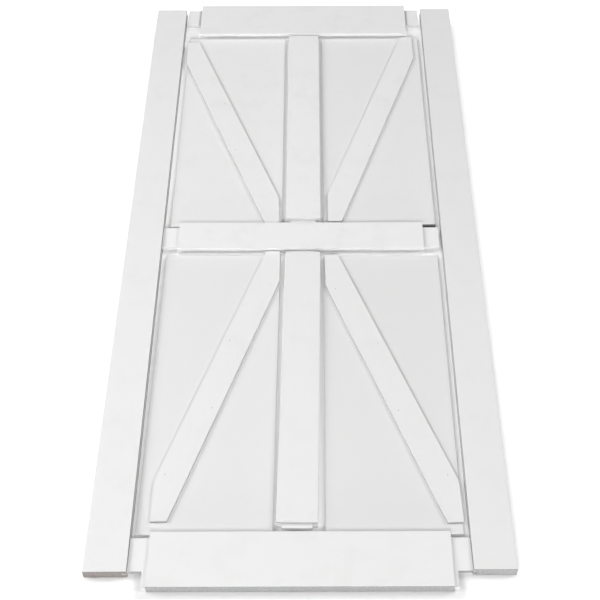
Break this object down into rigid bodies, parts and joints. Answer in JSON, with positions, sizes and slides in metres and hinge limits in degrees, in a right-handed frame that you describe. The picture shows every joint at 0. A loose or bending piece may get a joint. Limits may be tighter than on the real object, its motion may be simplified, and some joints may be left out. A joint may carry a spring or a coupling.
{
  "type": "sliding barn door",
  "caption": "White knock-down barn door leaf with grooved stiles, tenoned rails, mullions, panels and radiating braces, laid out dry and flat for assembly.",
  "frame": {"origin": "on the floor below the middle of the laid-out leaf", "axes": "+Y along the leaf towards its head, +X to its right seen from the front, +Z out of its front face, up from the floor"},
  "size_m": [1.0212, 2.1972, 0.028],
  "materials": {
    "frame_film": "fibreboard wrapped in satin white film, raw on the cut ends",
    "panel_film": "fibreboard faced with satin white film",
    "brace_film": "thin fibreboard strip with satin white film"
  },
  "bodies": {
    "root": {"left_stile": "frame_film", "right_stile": "frame_film", "top_rail": "frame_film", "mid_rail": "frame_film", "bottom_rail": "frame_film", "upper_mullion": "frame_film", "lower_mullion": "frame_film", "upper_left_panel": "panel_film", "upper_right_panel": "panel_film", "lower_left_panel": "panel_film", "lower_right_panel": "panel_film", "upper_left_brace": "brace_film", "upper_right_brace": "brace_film", "lower_left_brace": "brace_film", "lower_right_brace": "brace_film"}
  },
  "joints": []
}
